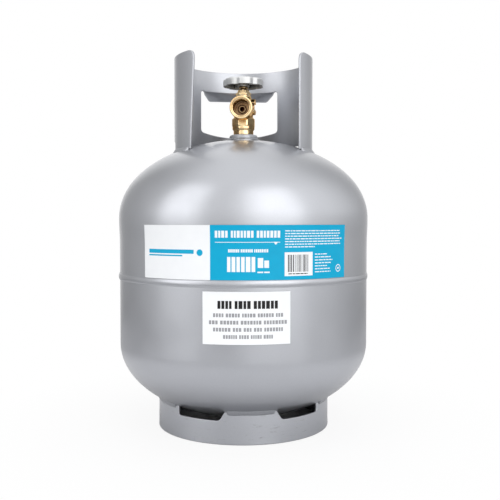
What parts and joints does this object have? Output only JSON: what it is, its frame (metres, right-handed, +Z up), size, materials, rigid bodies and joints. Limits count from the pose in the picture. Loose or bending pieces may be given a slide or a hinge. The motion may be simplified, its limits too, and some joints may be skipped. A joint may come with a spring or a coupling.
{
  "type": "lp gas cylinder",
  "caption": "Refillable steel LP gas cylinder with a guard collar, a slotted foot ring and a brass handwheel valve with threaded outlet, relief valve and bleed screw.",
  "frame": {"origin": "centre of the foot ring's bottom edge, on the cylinder's axis", "axes": "+Z up along the cylinder's axis, -Y out of the collar's front opening, +X to the right seen from the front"},
  "size_m": [0.3192, 0.3192, 0.4685],
  "materials": {
    "silver_grey_paint": "glossy silver-grey paint with a fine metallic grain",
    "brass": "machined and forged brass, semi-bright",
    "cast_aluminium": "die-cast aluminium, satin",
    "zinc_plated_steel": "zinc-plated steel",
    "black_rubber": "moulded nitrile rubber",
    "white_nylon": "natural nylon",
    "thread_tape": "white thread-seal tape",
    "cap_plastic": "moulded polyethylene dust cap",
    "blue_vinyl": "printed vinyl, bright blue with a white left panel",
    "white_vinyl": "printed vinyl, white"
  },
  "bodies": {
    "vessel": {"upper_shell": "silver_grey_paint", "lower_shell": "silver_grey_paint", "girth_weld": "silver_grey_paint", "neck_ring": "silver_grey_paint", "neck_weld": "silver_grey_paint", "collar": "silver_grey_paint", "collar_weld_left": "silver_grey_paint", "collar_weld_right": "silver_grey_paint", "collar_weld_rear": "silver_grey_paint", "foot_ring": "silver_grey_paint", "foot_weld_front": "silver_grey_paint", "foot_weld_right": "silver_grey_paint", "foot_weld_rear": "silver_grey_paint", "foot_weld_left": "silver_grey_paint", "main_label": "blue_vinyl", "lower_label": "white_vinyl", "valve_body": "brass", "thread_tape": "thread_tape", "ullage_tube": "brass", "bonnet": "brass", "bonnet_gasket": "white_nylon", "thrust_washer": "white_nylon", "relief_housing": "brass", "relief_spring": "zinc_plated_steel"},
    "handwheel_assembly": {"handwheel": "cast_aluminium", "wheel_screw": "zinc_plated_steel", "wheel_washer": "zinc_plated_steel", "spindle": "brass", "spindle_seal": "black_rubber"},
    "plug": {"seat_holder": "brass", "seat_disc": "black_rubber"},
    "bleed_carrier": {"bleed_seal": "white_nylon"},
    "bleed_screw_body": {"bleed_screw": "brass"},
    "relief_poppet_body": {"relief_poppet": "brass", "relief_seal": "black_rubber"},
    "relief_cap_body": {"relief_dust_cap": "cap_plastic"}
  },
  "joints": [
    {"name": "handwheel_turn", "type": "hinge", "parent": "vessel", "child": "handwheel_assembly", "pos_m": [0, 0, 0.439], "axis": [0, 0, 1], "range_deg": [0, 720]},
    {"name": "plug_lift", "type": "slide", "parent": "handwheel_assembly", "child": "plug", "axis": [0, 0, 1], "range_m": [0, 0.00301]},
    {"name": "bleed_travel", "type": "slide", "parent": "vessel", "child": "bleed_carrier", "axis": [0.9848, -0.1736, 0], "range_m": [0, 0.00112]},
    {"name": "bleed_turn", "type": "hinge", "parent": "bleed_carrier", "child": "bleed_screw_body", "pos_m": [0.00985, -0.00174, 0.4085], "axis": [0.9848, -0.1736, 0], "range_deg": [0, 541]},
    {"name": "relief_lift", "type": "slide", "parent": "vessel", "child": "relief_poppet_body", "axis": [0.1736, 0.9848, 0], "range_m": [0, 0.0015], "deforming": ["relief_spring"]},
    {"name": "dust_cap_off", "type": "slide", "parent": "vessel", "child": "relief_cap_body", "axis": [0.1736, 0.9848, 0], "range_m": [0, 0.012]}
  ],
  "couplings": [
    {"joint": "plug_lift", "follows": "handwheel_turn", "m_per_rad": 0.00023873},
    {"joint": "bleed_turn", "follows": "bleed_travel", "rad_per_m": 8377.6}
  ]
}
